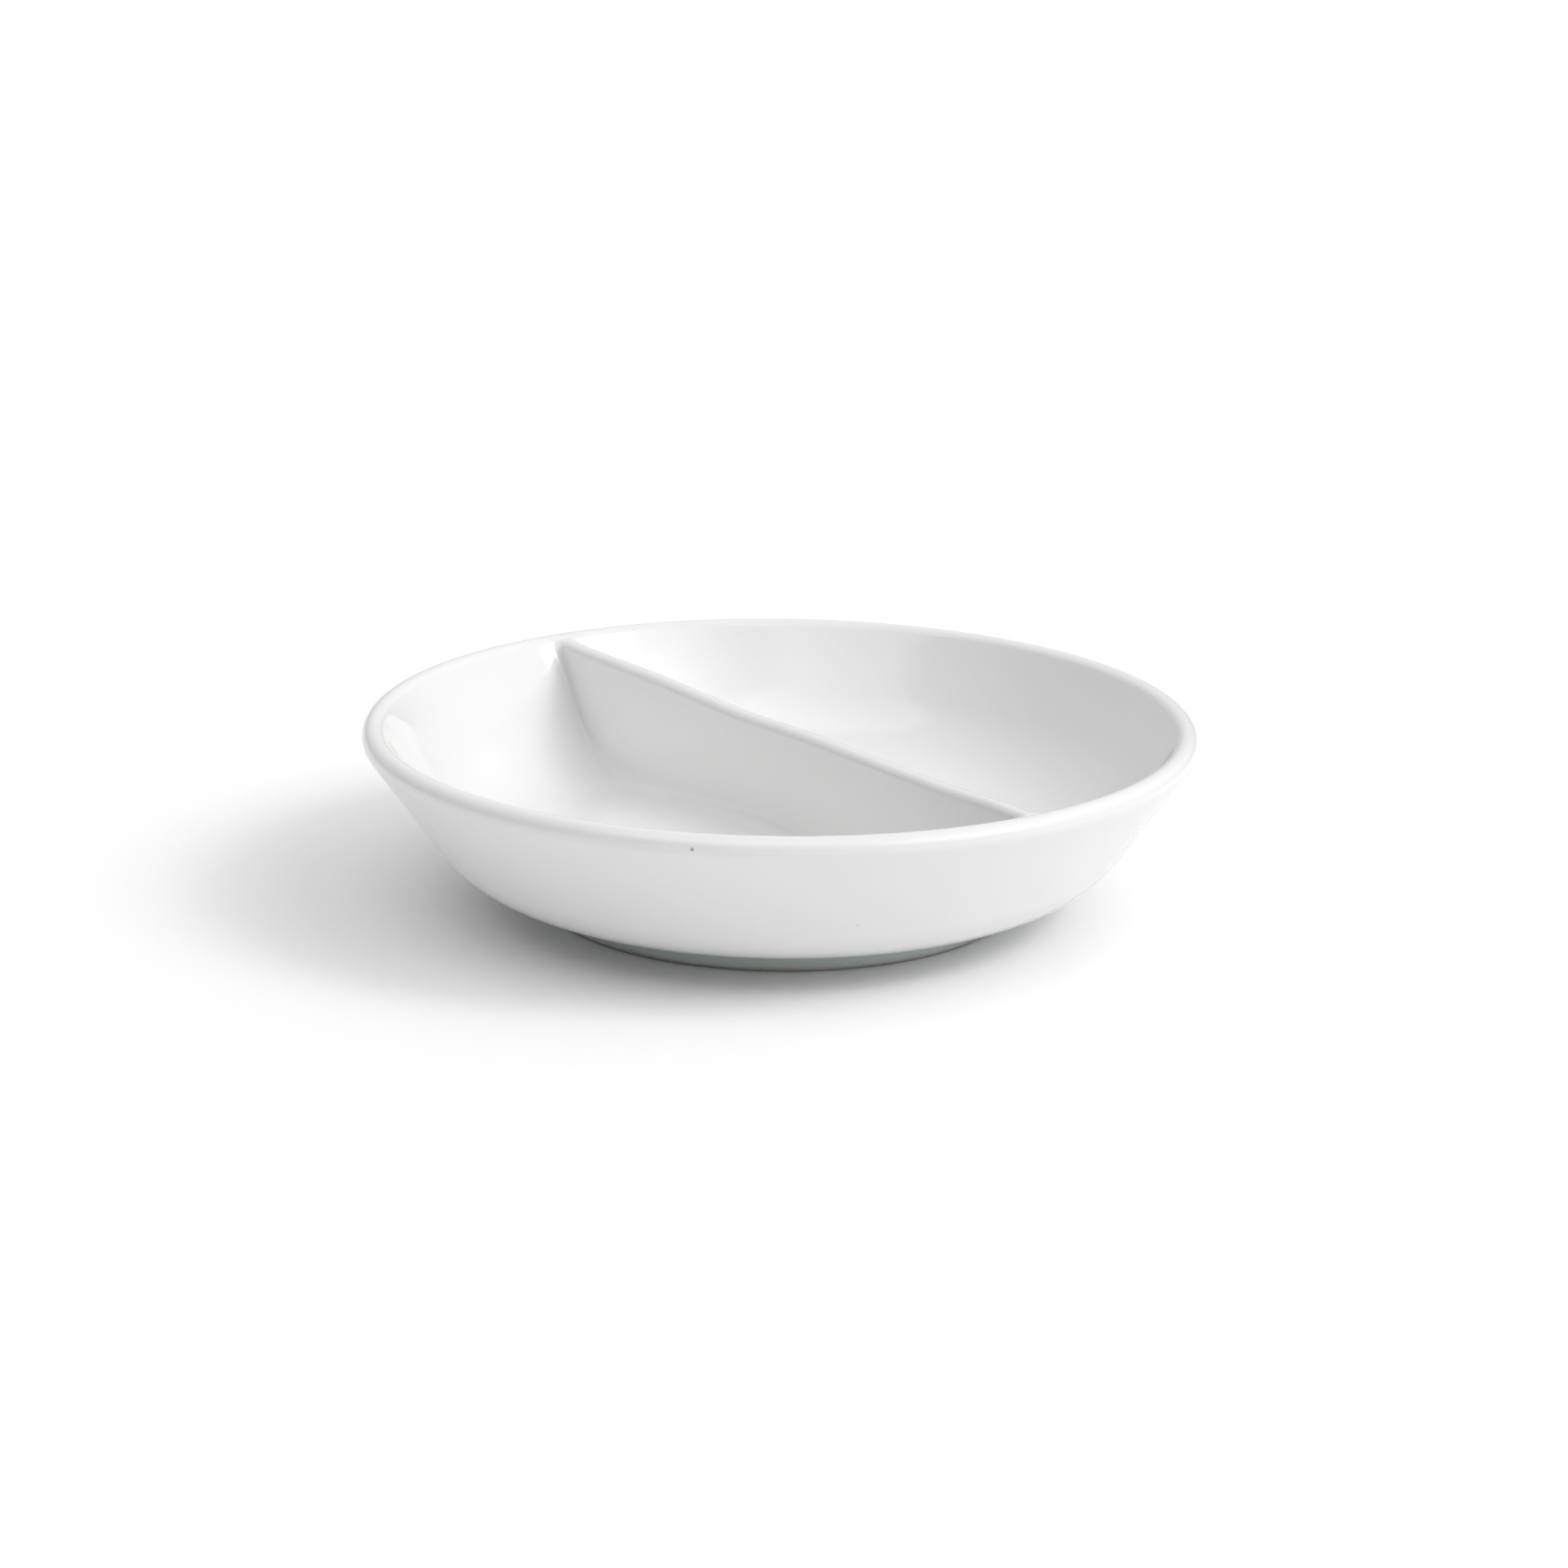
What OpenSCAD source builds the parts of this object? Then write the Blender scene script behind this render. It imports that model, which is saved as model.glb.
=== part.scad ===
// Divided sauce dish in glazed porcelain.
// A round bowl with a straight flared wall stands on a turned foot ring, and an upright
// divider across its middle parts it into two equal wells.
// Sizes are in millimetres. The origin is at the middle of the foot on the table, +Z is up
// and the divider runs along X.

/* [Bowl] */
// Outside diameter of the rim
rim_d = 100; // [84:1:130]
// Height from the table to the top of the rim
dish_h = 22.4; // [19:0.2:34]
// Thickness of the flared wall, rounded over in full at the lip
wall_t = 2.5; // [1.8:0.1:4]
// Thickness of the floor at its lowest ring
floor_t = 3.8; // [2.4:0.1:5.2]
// Slope of the floor up to its middle, in degrees
floor_slope = 4; // [0:0.25:6]
// Lean of the wall away from upright, in degrees
flare = 34.2; // [24:0.2:44]
// Radius of the outside curve between the underside and the wall
belly_r = 13; // [8:0.5:17]
// Radius of the inside curve between the floor and the wall
well_r = 16; // [9:0.5:20]

/* [Divider] */
// Thickness of the divider at its crest, before the edges are rounded
crest_t = 2.4; // [1.6:0.1:4]
// Drop of the crest below the top of the rim
crest_drop = 0.4; // [0:0.1:8]
// Rounding of the two edges of the crest
crest_r = 1; // [0.4:0.05:1.1]
// Draft of each face of the divider, in degrees
draft = 1.5; // [0:0.25:4]
// Fillet between the divider and the bowl at the floor, where the glaze gathers
seat_r = 1.8; // [0.8:0.1:4]
// The same fillet where it runs out on the lip
seat_top_r = 0.8; // [0.4:0.1:2]

/* [Foot] */
// Height of the foot ring, which is also the height of the underside
foot_h = 3.2; // [1.8:0.1:6]
// Outside diameter of the foot ring on the table
foot_d = 57.2; // [44:0.2:64]
// Width of the foot ring on the table, before its edges are rounded
foot_t = 2.8; // [2:0.1:5]
// Lean of both sides of the foot ring, in degrees
foot_lean = 12; // [0:1:25]
// Rounding of the two edges that stand on the table
foot_edge_r = 0.7; // [0.3:0.05:0.9]
// Fillet between the foot ring and the underside
foot_fillet_r = 1.2; // [0.4:0.1:2]

/* [Hidden] */
$fn = 128;

// Overlap of each curve past its tangent lines, so that they cross cleanly
seam = 0.001;
// Directions in the half section [radius, height]: out through the wall and down along it
out = [cos(flare), -sin(flare)];
down = [-sin(flare), -cos(flare)];
// Lip: centre of its round and the two points where the round leaves the wall
lip_r = wall_t / 2;
lip = [rim_d / 2 - lip_r, dish_h - lip_r];
lip_out = lip + lip_r * out;
lip_in = lip - lip_r * out;
// Height of the floor's lowest ring inside the bowl and of the top of the divider
floor_z = foot_h + floor_t;
crest_z = dish_h - crest_drop;

// Centre of a curve of radius r that touches a level line at height z and the wall line through p
function curve_centre(p, r, z) =
  let(q = p - r * out)
  q + down * (q[1] - z - r) / cos(flare);

belly = curve_centre(lip_out, belly_r, foot_h);
well = curve_centre(lip_in, well_r, floor_z);
well_top = well + well_r * out;
// Point where the sloping floor runs into the curve of the well, and height of the floor's middle
well_foot = well - well_r * [sin(floor_slope), cos(floor_slope)];
floor_mid = well_foot[1] + well_foot[0] * tan(floor_slope);

// Half section of everything inside one surface of the wall: from the axis to the foot of the
// curve, round the curve, and closed above by the points given
module wall_form(centre, r, start, foot, top) {
  polygon(concat([start, foot, centre + r * out], top));
  intersection() {
    translate(centre) circle(r + seam);
    translate(centre - [r + 1, r + 1]) square([2 * r + 2, r + 1]);
  }
}

// Half section of everything inside the outer surface
module outer_form() {
  wall_form(belly, belly_r, [0, foot_h], [belly[0], foot_h], [lip_out, lip_in, [0, lip_in[1]]]);
}

// Bowl: the outer form less the well, with a full round along the lip
module bowl() {
  color("#f4f5f3")
  rotate_extrude() {
    difference() {
      outer_form();
      wall_form(well, well_r, [0, floor_mid], well_foot, [lip_in, [lip_in[0], dish_h + 1], [0, dish_h + 1]]);
    }
    translate(lip) circle(lip_r + seam);
  }
}

// Point of the bowl's inside at height z, with the normal that leads away from the wall:
// first the curve of the well, then the straight wall, then the round of the lip
function seat(z) =
  z < well_top[1] ? let(t = acos(1 - (z - floor_z) / well_r))
    [well + well_r * [sin(t), -cos(t)], [-sin(t), cos(t)]] :
  z < lip_in[1] ? [lip_in + (lip_in[1] - z) / cos(flare) * down, -out] :
  let(t = asin((z - lip[1]) / lip_r))
    [lip + lip_r * [-cos(t), sin(t)], [-cos(t), sin(t)]];

// Height of the floor at distance r from the axis, as far as the lowest ring of the well
function floor_at(r) =
  r < well_foot[0] ? floor_mid - r * tan(floor_slope) : well[1] - sqrt(well_r ^ 2 - (r - well[0]) ^ 2);

// Radius of the seat's fillet over a seat point at height z
function seat_r_at(z) =
  seat_r + (seat_top_r - seat_r) * min(1, max(0, (z - floor_mid) / (crest_z - floor_mid)));

// Half thickness of the divider at height z and distance d from the bowl, over a fillet of radius r
function fillet(d, r) = d < r ? r - sqrt(r ^ 2 - (r - d) ^ 2) : 0;
function crest_round(z) =
  z > crest_z - crest_r ? crest_r - sqrt(max(0, crest_r ^ 2 - (z - crest_z + crest_r) ^ 2)) : 0;
function flank(z, d, r) = crest_t / 2 + (crest_z - z) * tan(draft) + fillet(d, r) - crest_round(z);

// Distances from the bowl at which a rib of a given length is sampled: closely through the
// fillet and again through the rounded crest, drawn together where the rib is short
fillet_steps = 6;
crest_steps = 5;
function rib_samples(length, rise, r) =
  let(k = min(1, 0.9 * length / (r + crest_r / rise)))
  concat(
    [for (i = [0 : fillet_steps]) k * r * (1 - cos(90 * i / fillet_steps))],
    [for (i = [0 : crest_steps]) length - k * crest_r * (1 - sin(90 * i / crest_steps)) / rise]);

// Closed row of [section point, offset] over a seat point p with normal n: across the bowl, up
// one flank and down the other
function row(p, n) =
  let(
    r = seat_r_at(p[1]),
    samples = rib_samples((crest_z - p[1]) / n[1], n[1], r),
    rib = [for (d = samples) [p + d * n, flank(p[1] + d * n[1], d, r)]],
    last = len(rib) - 1)
  concat(
    [for (k = [-1, -0.5, 0, 0.5]) [p, k * rib[0][1]]],
    rib,
    [for (i = [last : -1 : 1]) [rib[i][0], -rib[i][1]]]);

// Ring of the divider's skin on the wall. Every point keeps its own distance from the axis.
function wall_ring(seat_point, side) =
  [for (q = row(seat_point[0], seat_point[1])) [side * sqrt(q[0][0] ^ 2 - q[1] ^ 2), q[1], q[0][1]]];

// Upright ring of the divider's skin at x on the floor. Its foot follows the slope of the floor.
function floor_ring(x) =
  let(low = floor_at(abs(x)))
  [for (q = row([abs(x), low], [0, 1]))
    let(fall = low - floor_at(sqrt(x ^ 2 + q[1] ^ 2)))
    [x, q[1], q[0][1] - fall * (crest_z - q[0][1]) / (crest_z - low)]];

// Divider: a skin that crosses the floor and climbs to the lip at both ends
module divider() {
  steps = 20;
  half_floor = 8;
  // Height that the last ring stops short of the crest
  tip = 0.1;
  heights = [for (i = [0 : steps]) floor_z + (crest_z - tip - floor_z) * (1 - cos(180 * i / steps)) / 2];
  rings = concat(
    [for (i = [steps : -1 : 0]) wall_ring(seat(heights[i]), -1)],
    [for (i = [-half_floor : half_floor]) floor_ring(well_foot[0] * i / half_floor)],
    [for (z = heights) wall_ring(seat(z), 1)]);
  n = len(rings[0]);
  ends = len(rings) - 1;
  points = [for (r = rings) each r];
  skin = [for (j = [0 : ends - 1], i = [0 : n - 1])
    let(a = j * n + i, b = j * n + (i + 1) % n)
    each [[a, b, b + n], [a, b + n, a + n]]];
  caps = [for (i = [3 : n])
    let(a = i % n, b = (i + 1) % n)
    each [[2, b, a], [ends * n + 2, ends * n + a, ends * n + b]]];
  color("#eef0ee")
  polyhedron(points, concat(skin, caps));
}

// One side of the foot ring's section, measured from the middle of its width
module foot_half() {
  lean = [cos(foot_lean), -sin(foot_lean)];
  side_top = foot_t / 2 + foot_h * tan(foot_lean);
  edge = [foot_t / 2 - foot_edge_r * (1 / cos(foot_lean) - tan(foot_lean)), foot_edge_r + seam];
  reach = foot_fillet_r / tan(45 + foot_lean / 2);
  hollow = [side_top + reach, foot_h - foot_fillet_r];
  touch = hollow - foot_fillet_r * lean;
  polygon([[0, 0], [edge[0], 0], edge + foot_edge_r * lean, [side_top, foot_h], [0, foot_h]]);
  translate(edge) circle(foot_edge_r + seam);
  difference() {
    polygon([[0, foot_h], [0, touch[1]], touch, hollow, [hollow[0], foot_h]]);
    translate(hollow) circle(foot_fillet_r + seam);
  }
  // Root that reaches up to the belly wherever the foot stands outside the level underside
  translate([0, foot_h]) square([side_top + reach, belly_r]);
}

// Foot ring: its section on both sides of the ring's middle, cut to the underside of the bowl
module foot_ring() {
  color("#dfe2dc")
  rotate_extrude()
  difference() {
    translate([foot_d / 2 - foot_t / 2, 0]) {
      foot_half();
      mirror([1, 0]) foot_half();
    }
    outer_form();
  }
}

bowl();
divider();
foot_ring();
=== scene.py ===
# %% [markdown]
# # A divided sauce dish in white porcelain
# The dish is a bowl with a straight flared wall, a divider across its middle and a low foot ring.
# The construction model gives the place of every piece. This lesson dresses it: each piece is
# modelled again with a finer surface, gets its glaze, and is set on a pale table in soft light.

# %% Load the frame
import math
import bpy
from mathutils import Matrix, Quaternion, Vector


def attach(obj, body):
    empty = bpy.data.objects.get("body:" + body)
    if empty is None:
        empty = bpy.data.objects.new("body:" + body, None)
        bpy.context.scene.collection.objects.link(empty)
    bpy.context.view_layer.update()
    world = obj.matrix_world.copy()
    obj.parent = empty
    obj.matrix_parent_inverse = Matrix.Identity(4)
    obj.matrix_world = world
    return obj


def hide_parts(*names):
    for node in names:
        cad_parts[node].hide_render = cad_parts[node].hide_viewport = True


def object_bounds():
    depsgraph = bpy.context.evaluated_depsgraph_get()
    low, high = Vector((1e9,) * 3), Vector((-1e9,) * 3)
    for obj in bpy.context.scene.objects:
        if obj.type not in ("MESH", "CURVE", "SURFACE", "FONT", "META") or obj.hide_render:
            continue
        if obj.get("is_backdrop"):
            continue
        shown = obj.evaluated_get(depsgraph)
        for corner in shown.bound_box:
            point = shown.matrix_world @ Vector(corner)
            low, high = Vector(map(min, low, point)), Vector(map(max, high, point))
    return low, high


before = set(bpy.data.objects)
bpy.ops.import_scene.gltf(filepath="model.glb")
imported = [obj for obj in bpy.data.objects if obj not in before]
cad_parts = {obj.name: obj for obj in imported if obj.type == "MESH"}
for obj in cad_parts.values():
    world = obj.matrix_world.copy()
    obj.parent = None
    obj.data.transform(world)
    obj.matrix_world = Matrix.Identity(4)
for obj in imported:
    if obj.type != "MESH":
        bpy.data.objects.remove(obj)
cad_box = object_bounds()
print("nodes in the frame:", sorted(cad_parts))

# %% [markdown]
# ## Sizes
# Potters draw a dish as a half section: radius to the right, height upwards. All sizes are in
# millimetres here and become metres when a point is placed. They are the sizes of the
# construction model, so that each new piece sits where its solid sits.

# %% Sizes of the half section
MM = 0.001
RIM_R, DISH_H, WALL = 50.0, 22.4, 2.5
FLARE = math.radians(34.2)
FOOT_H, FLOOR_Z = 3.2, 7.0
BELLY_R, WELL_R = 13.0, 16.0
OUT = Vector((math.cos(FLARE), -math.sin(FLARE)))
DOWN = Vector((-math.sin(FLARE), -math.cos(FLARE)))
DRAWN_LIP = Vector((RIM_R - WALL / 2, DISH_H - WALL / 2))


def curve_centre(point, radius, height):
    """Centre of a curve that touches a level line at that height and the wall line through point."""
    inside = point - radius * OUT
    return inside + DOWN * (inside.y - height - radius) / math.cos(FLARE)


BELLY = curve_centre(DRAWN_LIP + WALL / 2 * OUT, BELLY_R, FOOT_H)
WELL = curve_centre(DRAWN_LIP - WALL / 2 * OUT, WELL_R, FLOOR_Z)
print("well curve about", [round(c, 2) for c in WELL], "belly curve about", [round(c, 2) for c in BELLY])

# %% [markdown]
# ## A fuller lip
# A wet sponge rounds the lip before firing and leaves it a little fuller than it was drawn, so the
# wall thickens towards it. Each face of the wall is then the line that touches the lip's round
# above and its own curve below, and its lean follows from these two. A bevel along the rim could
# round the lip as well, but it would leave the wall as thin as before.

# %% Lip, wall lines and floor
LIP_R = 1.5
LIP = Vector((RIM_R - LIP_R, DISH_H - LIP_R))


def wall_lean(centre, reach):
    """Lean of the wall line that touches the lip's round and a curve about that centre."""
    gap = LIP - centre
    return math.acos(reach / gap.length) - math.atan2(gap.y, gap.x)


LEAN_IN, LEAN_OUT = wall_lean(WELL, WELL_R + LIP_R), wall_lean(BELLY, BELLY_R - LIP_R)
IN_OUT = Vector((math.cos(LEAN_IN), -math.sin(LEAN_IN)))
OUT_OUT = Vector((math.cos(LEAN_OUT), -math.sin(LEAN_OUT)))
LIP_IN, LIP_OUT = LIP - LIP_R * IN_OUT, LIP + LIP_R * OUT_OUT
WELL_TOP, BELLY_TOP = WELL + WELL_R * IN_OUT, BELLY + BELLY_R * OUT_OUT
# The floor rises a little to its middle and runs into the well curve at its foot.
SLOPE = math.radians(4)
WELL_FOOT = WELL - WELL_R * Vector((math.sin(SLOPE), math.cos(SLOPE)))
FLOOR_MID = WELL_FOOT.y + WELL_FOOT.x * math.tan(SLOPE)
lean_in, lean_out, sloped = math.degrees(LEAN_IN), math.degrees(LEAN_OUT), math.degrees(SLOPE)
print("wall leans", round(lean_in, 2), "inside and", round(lean_out, 2), "outside")

# %% [markdown]
# ## Drawing a section and turning it
# A bowl is turned on a wheel, and Blender's spin does the same. A single vertex is walked along
# the half section: straight runs are extruded, curves are spun about their own centre. Then the
# whole line is spun about the upright axis. Compared with scaling rings one by one, this keeps
# every curve a true arc and puts the vertices where the curvature needs them.

# %% Helpers for turned pieces
TURN_STEPS = 480
SAME_PLACE = 0.0005 * MM


def start_section(name, point):
    """A new piece that holds one vertex of a half section, left in edit mode."""
    bpy.ops.object.select_all(action="DESELECT")
    bpy.ops.mesh.primitive_plane_add(size=MM)
    piece = bpy.context.object
    piece.name = piece.data.name = name
    bpy.ops.object.mode_set(mode="EDIT")
    bpy.ops.mesh.merge(type="CENTER")
    bpy.ops.transform.translate(value=(point[0] * MM, 0, point[1] * MM))
    return piece


def run_to(here, there, steps=1):
    """Extrudes the section's last vertex in a straight line."""
    step = (Vector(there) - Vector(here)) * MM / steps
    for _ in range(steps):
        bpy.ops.mesh.extrude_vertices_move(TRANSFORM_OT_translate={"value": (step.x, 0, step.y)})


def bend_round(centre, degrees, steps):
    """Spins the section's last vertex about a centre in its own plane; clockwise is positive."""
    middle = (centre[0] * MM, 0, centre[1] * MM)
    bpy.ops.mesh.spin(steps=steps, angle=-math.radians(degrees), center=middle, axis=(0, 1, 0))


def turn(piece):
    """Spins the whole section about the upright axis and closes the seam and the poles."""
    bpy.ops.mesh.select_all(action="SELECT")
    bpy.ops.mesh.spin(steps=TURN_STEPS, angle=2 * math.pi, center=(0, 0, 0), axis=(0, 0, 1))
    bpy.ops.mesh.select_all(action="SELECT")
    bpy.ops.mesh.remove_doubles(threshold=SAME_PLACE)
    bpy.ops.mesh.normals_make_consistent(inside=False)
    bpy.ops.object.mode_set(mode="OBJECT")
    bpy.ops.object.shade_smooth()
    low = [round(min(v.co[i] for v in piece.data.vertices) / MM, 2) for i in range(3)]
    high = [round(max(v.co[i] for v in piece.data.vertices) / MM, 2) for i in range(3)]
    print(piece.name, len(piece.data.polygons), "faces, mm", low, high)


print("one step of a turned piece:", 360 / TURN_STEPS, "degrees")

# %% [markdown]
# ## The bowl
# Floor, well curve, flared wall, full-round lip, and back down the outside to the underside.
# The lip gets the closest steps, because its highlight is the brightest line of the dish. Half a
# sphere could be pressed into a bowl too, but its wall would never be straight.

# %% Turn the bowl
bowl = start_section("glazed_bowl", (0, FLOOR_MID))
run_to((0, FLOOR_MID), WELL_FOOT, 8)
bend_round(WELL, lean_in - 90 - sloped, 28)
run_to(WELL_TOP, LIP_IN, 6)
bend_round(LIP, 180 - lean_in + lean_out, 32)
run_to(LIP_OUT, BELLY_TOP, 8)
bend_round(BELLY, 90 - lean_out, 24)
run_to((BELLY.x, FOOT_H), (0, FOOT_H), 8)
turn(bowl)

# %% [markdown]
# ## The foot ring
# A low ring with sloping sides, rounded where it stands and filleted into the underside. Its
# section goes a little way up into the bowl's floor, so that no light shows at the joint. A torus
# would be quicker, but it has neither the flat standing edge nor the sloping sides.

# %% Turn the foot ring
FOOT_R, FOOT_T, FOOT_EDGE, FOOT_FILLET, FOOT_ROOT = 28.6, 2.8, 0.7, 1.2, 0.6
FOOT_LEAN = math.radians(12)
FOOT_MID = FOOT_R - FOOT_T / 2


def foot_side(way):
    """One side of the ring, outside for way +1 and inside for -1: the centres of its edge round
    and of its fillet, and the points where these touch its sloping face."""
    edge = FOOT_T / 2 - FOOT_EDGE * (1 / math.cos(FOOT_LEAN) - math.tan(FOOT_LEAN))
    fillet = FOOT_T / 2 + FOOT_H * math.tan(FOOT_LEAN)
    fillet += FOOT_FILLET / math.tan(math.pi / 4 + FOOT_LEAN / 2)
    normal = Vector((way * math.cos(FOOT_LEAN), -math.sin(FOOT_LEAN)))
    edge = Vector((FOOT_MID + way * edge, FOOT_EDGE))
    fillet = Vector((FOOT_MID + way * fillet, FOOT_H - FOOT_FILLET))
    return edge, fillet, edge + FOOT_EDGE * normal, fillet - FOOT_FILLET * normal


edge_o, hollow_o, side_o, touch_o = foot_side(1)
edge_i, hollow_i, side_i, touch_i = foot_side(-1)
tip_o, tip_i = Vector((hollow_o.x, FOOT_H)), Vector((hollow_i.x, FOOT_H))
root = Vector((0, FOOT_ROOT))
foot = start_section("foot_ring_glazed", tip_o)
sweep = 90 - math.degrees(FOOT_LEAN)
bend_round(hollow_o, -sweep, 10)
run_to(touch_o, side_o, 3)
bend_round(edge_o, sweep, 10)
run_to((edge_o.x, 0), (edge_i.x, 0), 4)
bend_round(edge_i, sweep, 10)
run_to(side_i, touch_i, 3)
bend_round(hollow_i, -sweep, 10)
run_to(tip_i, tip_i + root)
run_to(tip_i + root, tip_o + root)
run_to(tip_o + root, tip_o)
turn(foot)

# %% [markdown]
# ## The divider's crest
# The crest isn't quite straight: it was finished by hand and moved a little in the kiln. A few
# knots along the divider give its rise above the drawn height, and a smooth line runs through
# them. Pulling at the crest with proportional editing could do the same, but not as exactly.

# %% Line of the crest
CREST_Z, CREST_T, CREST_R = 22.0, 2.4, 1.12
CREST_LINE = ((-50, 0.02), (-40, 0.0), (-26, -0.03), (-16, -0.26), (-7, -0.42), (0, -0.23), (8, -0.06),
              (20, -0.08), (30, -0.05), (36, 0.1), (41, 0.29), (45, 0.34), (50, 0.34))


def crest_height(x):
    """Height of the crest at a place along the divider, on a smooth line through the knots."""
    i = max(1, min(len(CREST_LINE) - 3, sum(k[0] < x for k in CREST_LINE) - 1))
    (x0, z0), (x1, z1), (x2, z2), (x3, z3) = CREST_LINE[i - 1:i + 3]
    t = min(1, max(0, (x - x1) / (x2 - x1)))
    m1 = (z2 - z0) / (x2 - x0) * (x2 - x1)
    m2 = (z3 - z1) / (x3 - x1) * (x2 - x1)
    return (CREST_Z + (2 * t ** 3 - 3 * t ** 2 + 1) * z1 + (t ** 3 - 2 * t ** 2 + t) * m1
            + (3 * t ** 2 - 2 * t ** 3) * z2 + (t ** 3 - t ** 2) * m2)


print("crest at the middle", round(crest_height(0), 2), "mm")

# %% [markdown]
# ## The divider's seat
# The divider is luted into the bowl, and the joint is wiped to a soft fillet. It is wide on the
# floor, tight on the wall and a little wider again on the lip. That fillet follows a turned
# surface, so a bevel along a straight edge can't give it. Every rib of the divider starts a hair
# under the bowl's skin instead, leaves it along the fillet, and climbs the face to the crest.

# %% Shape of one rib
SEAT_LOW, SEAT_WALL, SEAT_TOP = 1.8, 0.5, 1.1
# How quickly the fillet tightens above the floor, and how late it widens towards the lip
TIGHTENS, WIDENS = 10, 2
DRAFT = math.radians(1.5)
FILLET_STEPS, FACE_STEPS, CREST_STEPS = 12, 6, 10
# Share of a short rib that its fillet and its crest may take up together
CURVED_SHARE = 0.9
# Depth under the bowl's skin, and how much wider the rib is there
UNDER_SKIN = ((0.4, 0.45), (0.12, 0.4), (0.02, 0.2))


def seat(height):
    """Point of the bowl's inside at that height, and the direction that leads away from it."""
    if height < WELL_TOP.y:
        t = math.acos(1 - (height - FLOOR_Z) / WELL_R)
        return WELL + WELL_R * Vector((math.sin(t), -math.cos(t))), Vector((-math.sin(t), math.cos(t)))
    if height < LIP_IN.y:
        along = Vector((IN_OUT.y, -IN_OUT.x))
        return LIP_IN + (LIP_IN.y - height) / math.cos(LEAN_IN) * along, -IN_OUT
    t = math.asin(min(1, (height - LIP.y) / LIP_R))
    away = Vector((-math.cos(t), math.sin(t)))
    return LIP + LIP_R * away, away


def floor_height(radius):
    """Height of the floor at a distance from the axis, as far as the lowest ring of the well."""
    if radius < WELL_FOOT.x:
        return FLOOR_MID - radius * math.tan(SLOPE)
    return WELL.y - math.sqrt(WELL_R ** 2 - (radius - WELL.x) ** 2)


def fillet_radius(height):
    """Radius of the fillet over a point of the bowl at that height."""
    up_wall = min(1, max(0, (height - FLOOR_MID) / (CREST_Z - FLOOR_MID)))
    at_floor, at_lip = (1 - up_wall) ** TIGHTENS, up_wall ** WIDENS
    return SEAT_WALL + (SEAT_LOW - SEAT_WALL) * at_floor + (SEAT_TOP - SEAT_WALL) * at_lip


def quarter(steps):
    """Angles from 0 to a quarter turn."""
    return [math.pi / 2 * i / steps for i in range(steps + 1)]


def rib(point, away, crest):
    """One flank from the bowl up to the crest, as pairs of section point and half thickness."""
    seat_r = fillet_radius(point.y)
    length = (crest - point.y) / away.y
    k = min(1, CURVED_SHARE * length / (seat_r + CREST_R / away.y))
    low = [k * seat_r * (1 - math.cos(a)) for a in quarter(FILLET_STEPS)]
    high = [length - k * CREST_R * (1 - math.sin(a)) / away.y for a in quarter(CREST_STEPS)]
    face = [low[-1] + (high[0] - low[-1]) * i / FACE_STEPS for i in range(1, FACE_STEPS)]
    skin = []
    for d in low + face + high:
        below = crest - point.y - d * away.y
        half = CREST_T / 2 + below * math.tan(DRAFT)
        half += seat_r - math.sqrt(seat_r ** 2 - max(0, seat_r - d) ** 2)
        half -= CREST_R - math.sqrt(CREST_R ** 2 - min(CREST_R, max(0, CREST_R - below)) ** 2)
        skin.append((point + d * away, half))
    return [(point - d * away, skin[0][1] + wider) for d, wider in UNDER_SKIN] + skin


print("fillet on the floor", fillet_radius(FLOOR_MID), "mm, on the lip", fillet_radius(CREST_Z), "mm")

# %% [markdown]
# ## The divider's rows
# Two ribs back to back make a closed row round the divider. Rows climb the wall at one end, cross
# the floor upright, and climb the wall at the other end. A slab cut to the bowl by a boolean
# would have no fillet, and its faces would be uneven along the cut.

# %% Rows of the divider
CLIMB, ACROSS = 36, 40
# Place where the crest reaches the lip, and how far the last row stops under it
CREST_END, TIP = 46.5, 0.05
# The last row's step into the lip: outwards, its share of the width, and downwards
DIVE_OUT, DIVE_WIDTH, DIVE_DOWN = 0.5, 0.9, 0.35


def closed(one):
    """A closed row round the divider, from under one fillet over the crest to under the other."""
    row = [(p, -y) for p, y in one] + [(p, y) for p, y in reversed(one)]
    return row + row[:1]


def wall_row(height, side):
    """A row on the wall. Every point keeps its own distance from the axis."""
    point, away = seat(height)
    crest = crest_height(side * (point.x + away.x / away.y * (CREST_Z - point.y)))
    return [(side * math.sqrt(p.x ** 2 - y ** 2), y, p.y) for p, y in closed(rib(point, away, crest))]


def floor_row(x):
    """An upright row on the floor. Its foot follows the floor's slope."""
    low, crest = floor_height(abs(x)), crest_height(x)
    row = [(p.y, y) for p, y in closed(rib(Vector((abs(x), low)), Vector((0, 1)), crest))]
    fall = [(low - floor_height(math.hypot(x, y))) * min(1, (crest - z) / (crest - low)) for z, y in row]
    return [(x, y, z - f) for (z, y), f in zip(row, fall)]


def climb(side):
    """Rows from the lowest ring of the well up to the lip. The last one dives into the lip, so
    that the joint has no edge of its own."""
    top = crest_height(side * CREST_END) - TIP
    shares = [(1 - math.cos(math.pi * i / CLIMB)) / 2 for i in range(CLIMB + 1)]
    up = [wall_row(FLOOR_Z + (top - FLOOR_Z) * share, side) for share in shares]
    return up + [[(x + side * DIVE_OUT, y * DIVE_WIDTH, z - DIVE_DOWN) for x, y, z in up[-1]]]


middle = [floor_row(WELL_FOOT.x * (2 * i / ACROSS - 1)) for i in range(ACROSS + 1)]
rows = climb(-1)[::-1] + middle + climb(1)
print("divider rows", len(rows), "of", len(rows[0]), "points")

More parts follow.
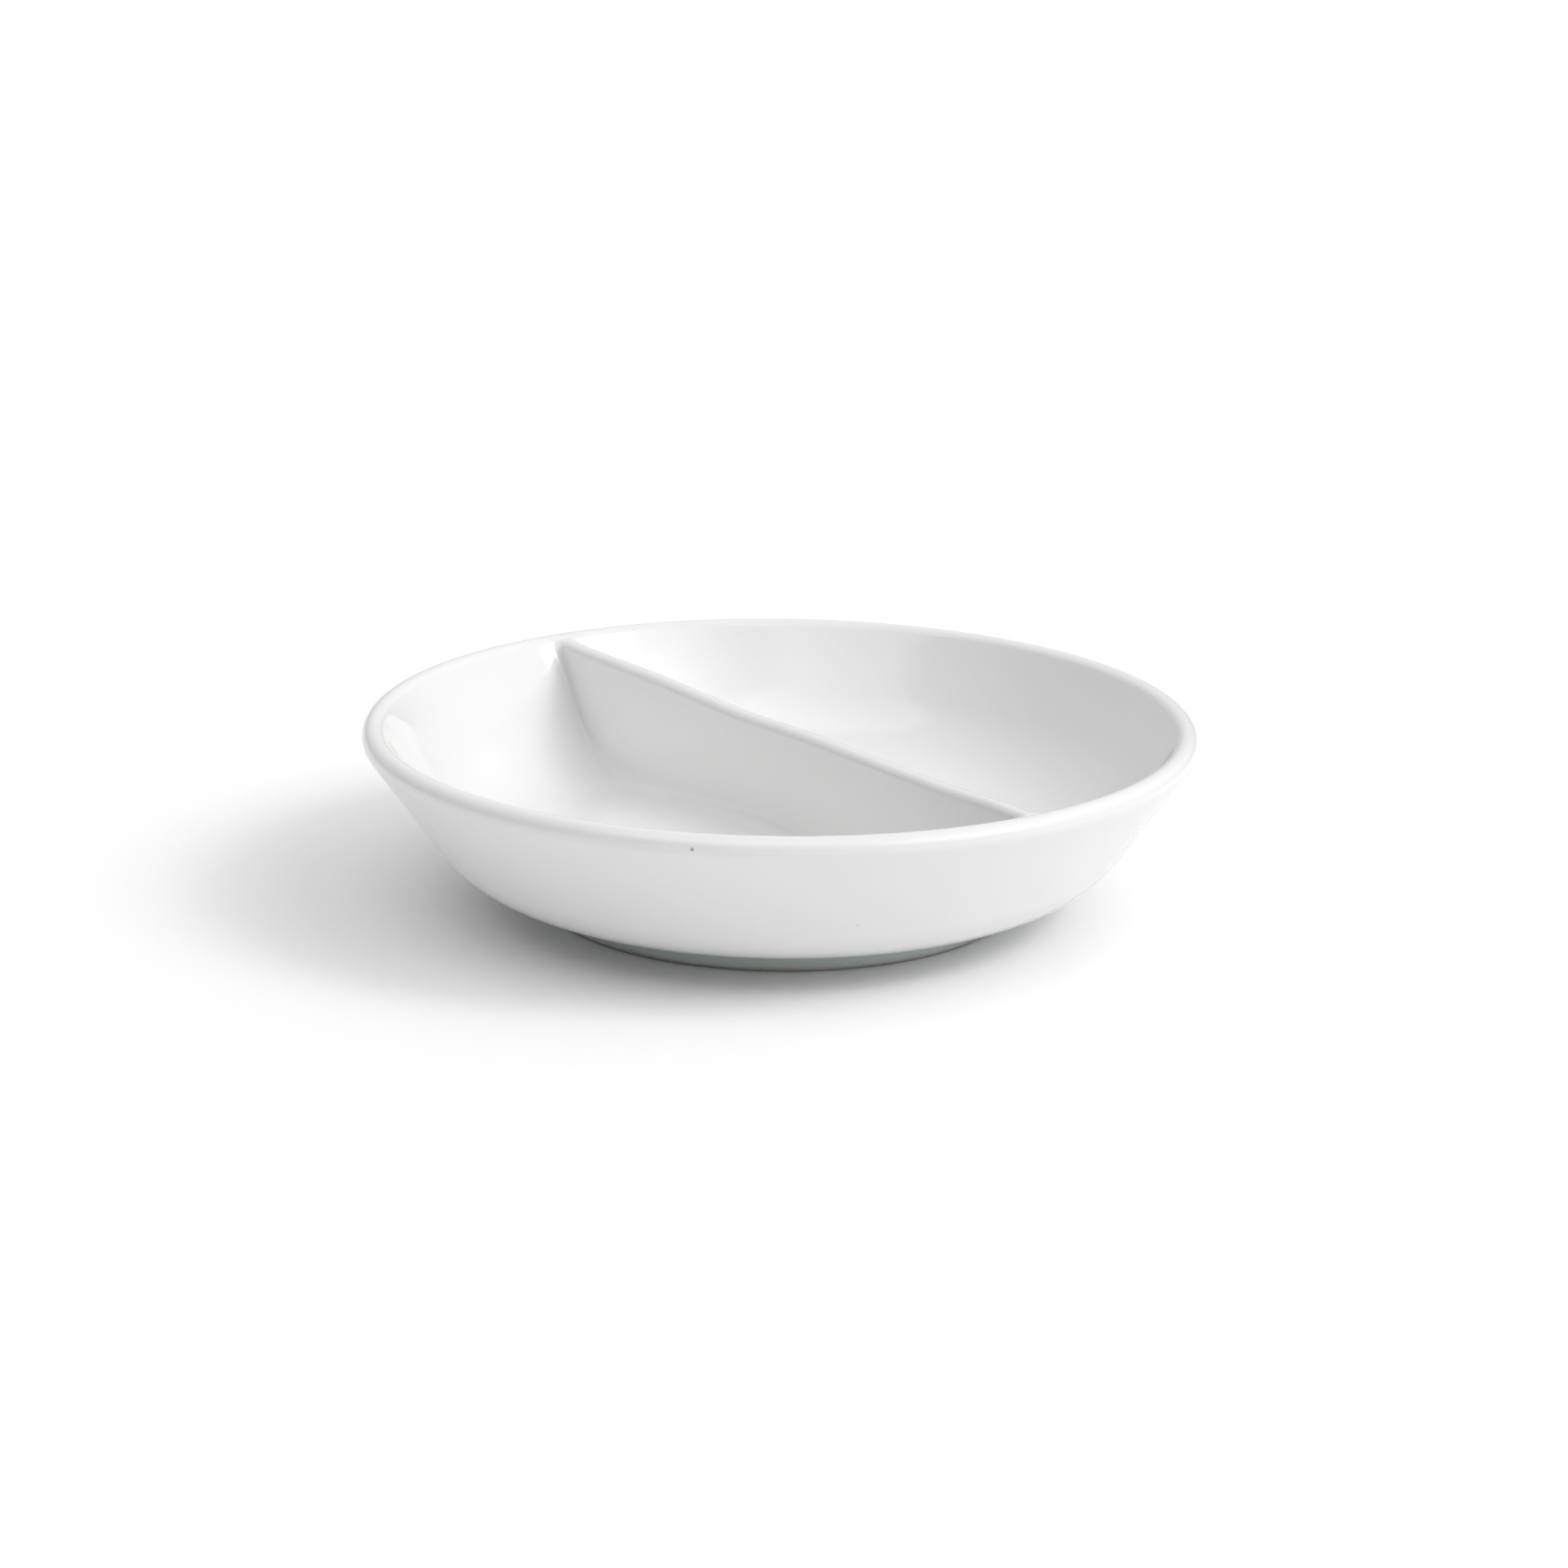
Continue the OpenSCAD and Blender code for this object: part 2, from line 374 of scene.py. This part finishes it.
# %% [markdown]
# ## The divider's skin
# A grid has its vertices in rows, like the divider, so one of the same size is laid down and every
# vertex is moved to its computed place. Its two long edges then meet and are merged, and the ends
# are closed. Building the mesh face by face would give the same skin with more to write.

# %% Lay the grid and move it into shape
bpy.ops.object.select_all(action="DESELECT")
bpy.ops.mesh.primitive_grid_add(x_subdivisions=len(rows[0]) - 1, y_subdivisions=len(rows) - 1, size=MM)
divider = bpy.context.object
divider.name = divider.data.name = "glazed_divider"
divider.data.vertices.foreach_set("co", [c * MM for row in rows for point in row for c in point])
bpy.ops.object.mode_set(mode="EDIT")
bpy.ops.mesh.select_all(action="SELECT")
bpy.ops.mesh.remove_doubles(threshold=SAME_PLACE)
bpy.ops.mesh.select_all(action="DESELECT")
bpy.ops.mesh.select_non_manifold()
bpy.ops.mesh.edge_face_add()
bpy.ops.mesh.select_all(action="SELECT")
bpy.ops.mesh.normals_make_consistent(inside=False)
bpy.ops.object.mode_set(mode="OBJECT")
bpy.ops.object.shade_smooth()
print(divider.name, len(divider.data.polygons), "faces")

# %% [markdown]
# ## Helpers for finishes
# A finish is a small chain of nodes. A few helpers keep the chains readable: they put a node down
# and join or fill its inputs, do a step of arithmetic, mix two colours, and open or use a named
# group. Everything is measured in the pieces' own metres, so a 12 mm wave is 12 mm on each.

# %% Node helpers
# Sockets of a mix node: the two colours and the result, and the two plain values
MIX_FROM, MIX_TO, MIXED = 6, 7, 2
VALUE_FROM, VALUE_TO = 2, 3


def put(tree, kind, inputs=(), **settings):
    """A new node; each input gets a link when it is given a socket, and a value otherwise."""
    made = tree.nodes.new("ShaderNode" + kind)
    for name, value in settings.items():
        setattr(made, name, value)
    for key, value in dict(inputs).items():
        if isinstance(value, bpy.types.NodeSocket):
            tree.links.new(value, made.inputs[key])
        else:
            made.inputs[key].default_value = value
    return made


def sum_of(tree, operation, *values):
    """The result of one step of arithmetic."""
    return put(tree, "Math", enumerate(values), operation=operation).outputs[0]


def mix(tree, factor, one, other):
    """A colour between two others."""
    inputs = {"Factor": factor, MIX_FROM: one, MIX_TO: other}
    return put(tree, "Mix", inputs, data_type="RGBA").outputs[MIXED]


def open_group(name, outputs):
    """A new node group that works from a place on the piece; outputs are given as name and kind."""
    tree = bpy.data.node_groups.new(name, "ShaderNodeTree")
    tree.interface.new_socket("Place", in_out="INPUT", socket_type="NodeSocketVector")
    for label, kind in outputs:
        tree.interface.new_socket(label, in_out="OUTPUT", socket_type="NodeSocket" + kind)
    return tree, tree.nodes.new("NodeGroupInput").outputs["Place"], tree.nodes.new("NodeGroupOutput").inputs


def use_group(tree, group, place):
    """The outputs of a group that is used in a material."""
    made = tree.nodes.new("ShaderNodeGroup")
    made.node_tree = group
    tree.links.new(place, made.inputs["Place"])
    return made.outputs


print("helpers:", [helper.__name__ for helper in (put, sum_of, mix, open_group, use_group)])

# %% [markdown]
# ## Glaze that flowed
# A dipped glaze never dries quite even. It keeps long shallow waves, a centimetre or so apart and
# some hundredths of a millimetre high, and a finer ripple between them. They bend the edges of
# the lamps' reflections and do nothing else, so they go into the bump and not into the mesh.

# %% Group: flow of the glaze
WAVES_PER_METRE, RIPPLES_PER_METRE, RIPPLE_SHARE = 75.0, 420.0, 0.08
FLOW_DEPTH = 0.05 * MM
flow, place, out = open_group("glaze_flow", [("Height", "Float")])
waves = put(flow, "TexNoise", {"Vector": place, "Scale": WAVES_PER_METRE, "Detail": 1.0})
ripple = put(flow, "TexNoise", {"Vector": place, "Scale": RIPPLES_PER_METRE, "Detail": 0.0})
small = sum_of(flow, "MULTIPLY", ripple.outputs[0], RIPPLE_SHARE)
flow.links.new(sum_of(flow, "ADD", waves.outputs[0], small), out["Height"])
print(flow.name, len(flow.nodes), "nodes")

# %% [markdown]
# ## Glaze that gathered, and painted shade in its corner
# Glaze runs into the corner between divider and bowl and lies thicker there, where it takes a cool
# green-grey cast. The colour there is also darker than the glaze, and this paints in the shade that
# falls in that corner. The corner is where a point is close to both pieces at once: its distance
# from the divider's face plus its distance from the bowl's inside. The bowl's inside is the smooth
# union of its wall line and its floor line. The cast could be painted by hand, but a measured one
# follows the corner all the way round.

# %% Group: gathered glaze and painted corner shade
WELL_BLEND = 12.9 * MM
FACE_HALF = 1.4 * MM
# How far the corner's thick glaze and painted shade reach, and where they are full
SHADE_AND_POOL_REACH, SHADE_AND_POOL_FULL = 2.2 * MM, 0.2 * MM
# The mask marks the corner's thick glaze and the shade that is painted into it.
pooled_glaze_and_shade, place, out = open_group("glaze_and_shade_in_corner", [("Mask", "Float")])


def step(operation, *values):
    """One step of arithmetic in this group."""
    return sum_of(pooled_glaze_and_shade, operation, *values)


along, across, up = put(pooled_glaze_and_shade, "SeparateXYZ", {0: place}).outputs
radius = step("SQRT", step("ADD", step("POWER", along, 2.0), step("POWER", across, 2.0)))
wall_line = (LIP_IN.x * IN_OUT.x + LIP_IN.y * IN_OUT.y) * MM
floor_line = -FLOOR_MID * math.cos(SLOPE) * MM
to_wall = step("MULTIPLY_ADD", radius, -IN_OUT.x, step("MULTIPLY_ADD", up, -IN_OUT.y, wall_line))
to_floor = step("MULTIPLY_ADD", radius, math.sin(SLOPE), step("MULTIPLY_ADD", up, math.cos(SLOPE), floor_line))
to_bowl = step("ABSOLUTE", step("SMOOTH_MIN", to_wall, to_floor, WELL_BLEND))
to_face = step("MAXIMUM", step("SUBTRACT", step("ABSOLUTE", across), FACE_HALF), 0.0)
reach = {"Value": step("ADD", to_bowl, to_face), "From Min": SHADE_AND_POOL_REACH, "From Max": SHADE_AND_POOL_FULL}
near = put(pooled_glaze_and_shade, "MapRange", reach, interpolation_type="SMOOTHSTEP")
pooled_glaze_and_shade.links.new(near.outputs[0], out["Mask"])
print(pooled_glaze_and_shade.name, len(pooled_glaze_and_shade.nodes), "nodes")

# %% [markdown]
# ## Kiln specks
# A speck of iron in the clay or a crumb from the kiln burns into a dark point under the glaze. The
# dish has one that shows on the front wall, two fainter ones, and a thin scatter too small to
# notice one by one. The scatter comes from a cell pattern in which only some cells carry a speck.
# Small beads would stand out from the glaze and cast shadows, so the specks go into the colour.

# %% Group: kiln specks
CELLS_PER_METRE, CARRYING, SCATTER_DEPTH = 260.0, 0.35, 0.35
LEAST_SIZE, MORE_SIZE = 0.012, 0.028
# Place and radius in millimetres, and depth of colour
SPECKS = (((34.14, -36.51, 20.97), 0.3, 0.68), ((39.05, -17.47, 10.14), 0.17, 0.35),
          ((48.64, 2.74, 18.88), 0.24, 0.22))
# Share of the radius in which a speck is darkest
CORE = 0.3
specks, place, out = open_group("kiln_specks", [("Mask", "Float")])
cells = put(specks, "TexVoronoi", {"Vector": place, "Scale": CELLS_PER_METRE}, feature="F1")
chance = put(specks, "SeparateXYZ", {0: cells.outputs["Color"]}).outputs
carries = sum_of(specks, "LESS_THAN", chance[0], CARRYING)
size = sum_of(specks, "MULTIPLY_ADD", chance[1], MORE_SIZE, LEAST_SIZE)
spread = {"Value": cells.outputs["Distance"], "From Min": size, "From Max": 0.0}
dot = put(specks, "MapRange", spread).outputs[0]
mask = sum_of(specks, "MULTIPLY", sum_of(specks, "MULTIPLY", dot, carries), SCATTER_DEPTH)
for spot, wide, depth in SPECKS:
    centre = [c * MM for c in spot]
    away = put(specks, "VectorMath", {0: place, 1: centre}, operation="DISTANCE").outputs["Value"]
    spread = {"Value": away, "From Min": wide * MM, "From Max": CORE * wide * MM, "To Max": depth}
    one = put(specks, "MapRange", spread, interpolation_type="SMOOTHSTEP").outputs[0]
    mask = sum_of(specks, "MAXIMUM", mask, one)
specks.links.new(mask, out["Mask"])
print(specks.name, len(specks.nodes), "nodes")

# %% [markdown]
# ## Colour of the glaze
# White ware is never one white. The body shows through the glaze in faint clouds some centimetres
# wide, and the gathered glaze in the divider's corner is cooler and darker: partly thick glaze and
# partly painted shade. The specks sit in it. One group mixes them, so that bowl, divider and foot
# are dipped in the same glaze.

# %% Group: glaze colour
CLOUDS_PER_METRE, POOL_AND_SHADE_SHARE = 38.0, 0.16
BODY_DARK, BODY_PALE = (0.868, 0.874, 0.866, 1), (0.884, 0.886, 0.880, 1)
# Pool colour: the cool cast of thick glaze and painted shade in the divider's corner
POOL_AND_SHADE_COLOUR, SPECK_COLOUR = (0.66, 0.70, 0.69, 1), (0.15, 0.14, 0.13, 1)
SMOOTHEST, DULLEST = 0.045, 0.07
colour, place, out = open_group("glaze_colour", [("Colour", "Color"), ("Gloss", "Float")])
clouds = put(colour, "TexNoise", {"Vector": place, "Scale": CLOUDS_PER_METRE, "Detail": 2.0}).outputs[0]
body = mix(colour, clouds, BODY_DARK, BODY_PALE)
# Thick glaze and painted shade, cooler and darker, in the divider's corner
pool_and_shade = sum_of(colour, "MULTIPLY", use_group(colour, pooled_glaze_and_shade, place)["Mask"], POOL_AND_SHADE_SHARE)
cooled_and_shaded = mix(colour, pool_and_shade, body, POOL_AND_SHADE_COLOUR)
spotted = mix(colour, use_group(colour, specks, place)["Mask"], cooled_and_shaded, SPECK_COLOUR)
gloss = put(colour, "MapRange", {"Value": clouds, "To Min": SMOOTHEST, "To Max": DULLEST})
colour.links.new(spotted, out["Colour"])
colour.links.new(gloss.outputs[0], out["Gloss"])
print(colour.name, len(colour.nodes), "nodes")

# %% [markdown]
# ## The glazed pieces
# The glaze is a clear coat of glass on a white body. A principled shader with a glass-like index
# does both: the body gives the colour and the coat the reflection, sharper the smoother it is. A
# shell of real glass round the body would be truer, but far slower to render.

# %% Material: white glaze
GLAZE_INDEX = 1.58


def dip(name):
    """A glazed material, and the parts of it that another finish may build on."""
    made = bpy.data.materials.new(name)
    made.use_nodes = True
    tree = made.node_tree
    shader = tree.nodes["Principled BSDF"]
    shader.inputs["IOR"].default_value = GLAZE_INDEX
    where = tree.nodes.new("ShaderNodeTexCoord").outputs["Object"]
    coat = use_group(tree, colour, where)
    tree.links.new(coat["Colour"], shader.inputs["Base Color"])
    tree.links.new(coat["Gloss"], shader.inputs["Roughness"])
    height = use_group(tree, flow, where)["Height"]
    bump = put(tree, "Bump", {"Height": height, "Strength": 1.0, "Distance": FLOW_DEPTH})
    tree.links.new(bump.outputs[0], shader.inputs["Normal"])
    return made, tree, shader, where, coat, bump


glaze = dip("white_glaze")[0]
for piece in (bowl, divider):
    piece.data.materials.clear()
    piece.data.materials.append(glaze)
print(glaze.name, "on", bowl.name, "and", divider.name)

# %% [markdown]
# ## The foot's bare edge
# A dish can't stand on wet glaze in the kiln, or it would stick. The foot is wiped before firing,
# so its standing edge shows the bare body: a warmer grey, dull, and gritty to the finger. The
# line where the glaze begins wanders a little, as a sponge leaves it. Above that line the glaze
# has run down and lies thick, so it looks cooler than on the wall. Towards the bowl it thins out.
# A second material on the lowest faces would end in a straight line, so one material does all.

# %% Material: foot with a wiped edge
WANDERS_PER_METRE, WANDER = 160.0, 0.5 * MM
GLAZED_FROM, BARE_TO = 0.95 * MM, 0.75 * MM
GRAINS_PER_METRE, GRAIN_DEPTH, BARE_DULL = 2600.0, 0.03 * MM, 0.8
CLAY_DARK, CLAY_PALE = (0.70, 0.68, 0.62, 1), (0.78, 0.765, 0.71, 1)
THICK_SHARE, THICK_BELOW, THICK_COLOUR = 0.8, 2.0 * MM, (0.75, 0.89, 0.87, 1)
foot_finish, tree, shader, where, coat, bump = dip("foot_porcelain")
up = put(tree, "SeparateXYZ", {0: where}).outputs[2]
wander = put(tree, "TexNoise", {"Vector": where, "Scale": WANDERS_PER_METRE, "Detail": 2.0}).outputs[0]
line = sum_of(tree, "MULTIPLY_ADD", wander, WANDER, up)
bare = put(tree, "MapRange", {"Value": line, "From Min": GLAZED_FROM, "From Max": BARE_TO}).outputs[0]
grit = put(tree, "TexNoise", {"Vector": where, "Scale": GRAINS_PER_METRE, "Detail": 3.0}).outputs[0]
clay = mix(tree, grit, CLAY_DARK, CLAY_PALE)
gathers = {"Value": up, "From Min": FOOT_H * MM, "From Max": THICK_BELOW, "To Max": THICK_SHARE}
share = put(tree, "MapRange", gathers, interpolation_type="SMOOTHSTEP").outputs[0]
thick = mix(tree, share, coat["Colour"], THICK_COLOUR)
both = mix(tree, bare, thick, clay)
dull = put(tree, "Mix", {"Factor": bare, VALUE_FROM: coat["Gloss"], VALUE_TO: BARE_DULL})
grain = {"Height": grit, "Strength": bare, "Distance": GRAIN_DEPTH, "Normal": bump.outputs[0]}
rough = put(tree, "Bump", grain)
tree.links.new(both, shader.inputs["Base Color"])
tree.links.new(dull.outputs[0], shader.inputs["Roughness"])
tree.links.new(rough.outputs[0], shader.inputs["Normal"])
foot.data.materials.clear()
foot.data.materials.append(foot_finish)
print(foot_finish.name, "on", foot.name)

# %% [markdown]
# ## Riding and replacing
# Each new piece takes the place of one solid of the construction model and rides on the root
# body. The solid stays in the scene, hidden.

# %% Put the pieces on the frame
for piece, node, slot in ((bowl, "bowl", "white_glaze"), (divider, "divider", "white_glaze"),
                          (foot, "foot_ring", "foot_porcelain")):
    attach(piece, "root")
    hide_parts(node)
    print(piece.name, "stands for", node)

# %% [markdown]
# ## The table
# A wide sheet of white paper. It is matt, so it takes the dish's shadow and gives back no
# reflection, and it is so pale that under full light it reaches plain white. It runs on past the
# edges of the picture, so no horizon shows and no curved backdrop is needed.

# %% Lay the table
TABLE_R, PAPER = 4.0, (0.985, 0.985, 0.985, 1)
bpy.ops.object.select_all(action="DESELECT")
bpy.ops.mesh.primitive_circle_add(vertices=96, radius=TABLE_R, fill_type="NGON")
table = bpy.context.object
table.name = table.data.name = "pale_table"
paper = bpy.data.materials.new("pale_paper")
paper.use_nodes = True
sheet = paper.node_tree.nodes["Principled BSDF"]
sheet.inputs["Base Color"].default_value = PAPER
sheet.inputs["Roughness"].default_value = 0.9
sheet.inputs["Specular IOR Level"].default_value = 0.0
table.data.materials.append(paper)
table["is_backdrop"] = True
print(table.name, 2 * TABLE_R, "m across")

# %% [markdown]
# ## The camera
# The photographer stands in front of the dish, which is turned so that the divider runs from the
# back left to the front right. A long lens from half a metre keeps the rim an easy ellipse; a short
# lens from close by would swell the front. Places in the studio are given as the photographer sees
# them: to the right, away and up.

# %% Directions in the studio
TURN = math.radians(54.07)
RIGHT = Vector((math.cos(TURN), math.sin(TURN), 0))
FAR = Vector((-math.sin(TURN), math.cos(TURN), 0))
UP = Vector((0, 0, 1))


def studio(right, far, up):
    """A place or direction as the photographer sees it, in metres."""
    return RIGHT * right + FAR * far + UP * up


def heading(side, rise):
    """The direction at some degrees from the right towards the back, and some degrees up."""
    a, e = math.radians(side), math.radians(rise)
    return studio(math.cos(a) * math.cos(e), math.sin(a) * math.cos(e), math.sin(e))


print("away from the photographer:", [round(c, 3) for c in FAR])

# %% Set the camera
STAND, AIM = studio(0, -0.5030, 0.1613), studio(0.000445, 0, 0.01418)
FOCAL, TILT = 100.05, math.radians(0.6712)
lens = bpy.data.cameras.new("camera")
camera = bpy.data.objects.new("camera", lens)
bpy.context.scene.collection.objects.link(camera)
bpy.context.scene.camera = camera
lens.sensor_width, lens.lens = 36.0, FOCAL
lens.clip_start, lens.clip_end = 0.01, 20
camera.location = STAND
camera.rotation_mode = "QUATERNION"
look = (AIM - camera.location).to_track_quat("-Z", "Y")
camera.rotation_quaternion = look @ Quaternion((0, 0, 1), TILT)
print("camera at", [round(c, 4) for c in camera.location], "lens", round(lens.lens, 2))

# %% [markdown]
# ## The light
# The room comes first: pale walls and a ceiling that send soft light from everywhere, more from
# some sides than from others. Each side is a wide glow that fades with the angle from its middle.
# The lamps are round soft boxes, bright in the middle and fading towards the rim. They hang far
# off, so that the table is lit evenly and the shadow keeps one direction: the key on the right
# with a wide spill beside it, and a fill above and in front on the left, whose round reflection
# lies on the far wall of the dish. A key with a hard rim would draw a hard line into the glaze.

# %% Glow of the room
# Degrees from the right towards the back, degrees up, tightness and strength of each glow
GLOWS = ((0, 90, 1, 0.45), (-28, 44, 10, 0.8), (20, 45, 6, 0.7), (40, 20, 6, 0.2), (-60, 40, 7, 0.24),
         (130, 15, 6, 0.46), (150, 45, 8, 0.22), (90, 15, 6, 0.38), (-20, 16, 8, 0.18))
world = bpy.data.worlds.new("studio")
bpy.context.scene.world = world
world.use_nodes = True
room = world.node_tree
room.nodes.clear()
towards = room.nodes.new("ShaderNodeTexCoord").outputs["Generated"]


def facing(side, rise):
    """How directly a direction points at a place in the studio: 1 straight at it, 0 square to it."""
    pair = {0: towards, 1: heading(side, rise)}
    return put(room, "VectorMath", pair, operation="DOT_PRODUCT").outputs["Value"]


lights = []
for side, rise, tightness, strength in GLOWS:
    fade = sum_of(room, "POWER", sum_of(room, "MAXIMUM", facing(side, rise), 0.0), float(tightness))
    lights.append(sum_of(room, "MULTIPLY", fade, strength))
print(len(GLOWS), "sides of the room")

# %% Soft boxes
# Degrees from the right towards the back, degrees up, radius in degrees of the even middle and of
# the rim, and strength
LAMPS = {"key": (-17, 41, 4, 14, 7.3), "key's spill": (-32, 42, 2, 26, 0.92),
         "fill": (-120, 66, 20, 25.5, 0.93)}
for name, (side, rise, core, rim, strength) in LAMPS.items():
    middle, edge = math.cos(math.radians(core)), math.cos(math.radians(rim))
    shine = {"Value": facing(side, rise), "From Min": edge, "From Max": middle, "To Max": strength}
    lights.append(put(room, "MapRange", shine, interpolation_type="SMOOTHSTEP").outputs[0])
    print(name, 2 * rim, "degrees wide, strength", strength)

# %% Join the lights
total = lights[0]
for light in lights[1:]:
    total = sum_of(room, "ADD", total, light)
walls = put(room, "Background", {"Color": (1, 1, 1, 1), "Strength": total})
room.links.new(walls.outputs[0], room.nodes.new("ShaderNodeOutputWorld").inputs[0])
bpy.context.scene.view_settings.view_transform = "Standard"
print("room of", len(room.nodes), "nodes")

# %% [markdown]
# The dressed dish must be as big as the construction model, so both boxes are printed.

# %% Print both boxes
new_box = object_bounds()
for label, box in (("cad", cad_box), ("visual", new_box)):
    print(label, [[round(v, 5) for v in corner] for corner in box])
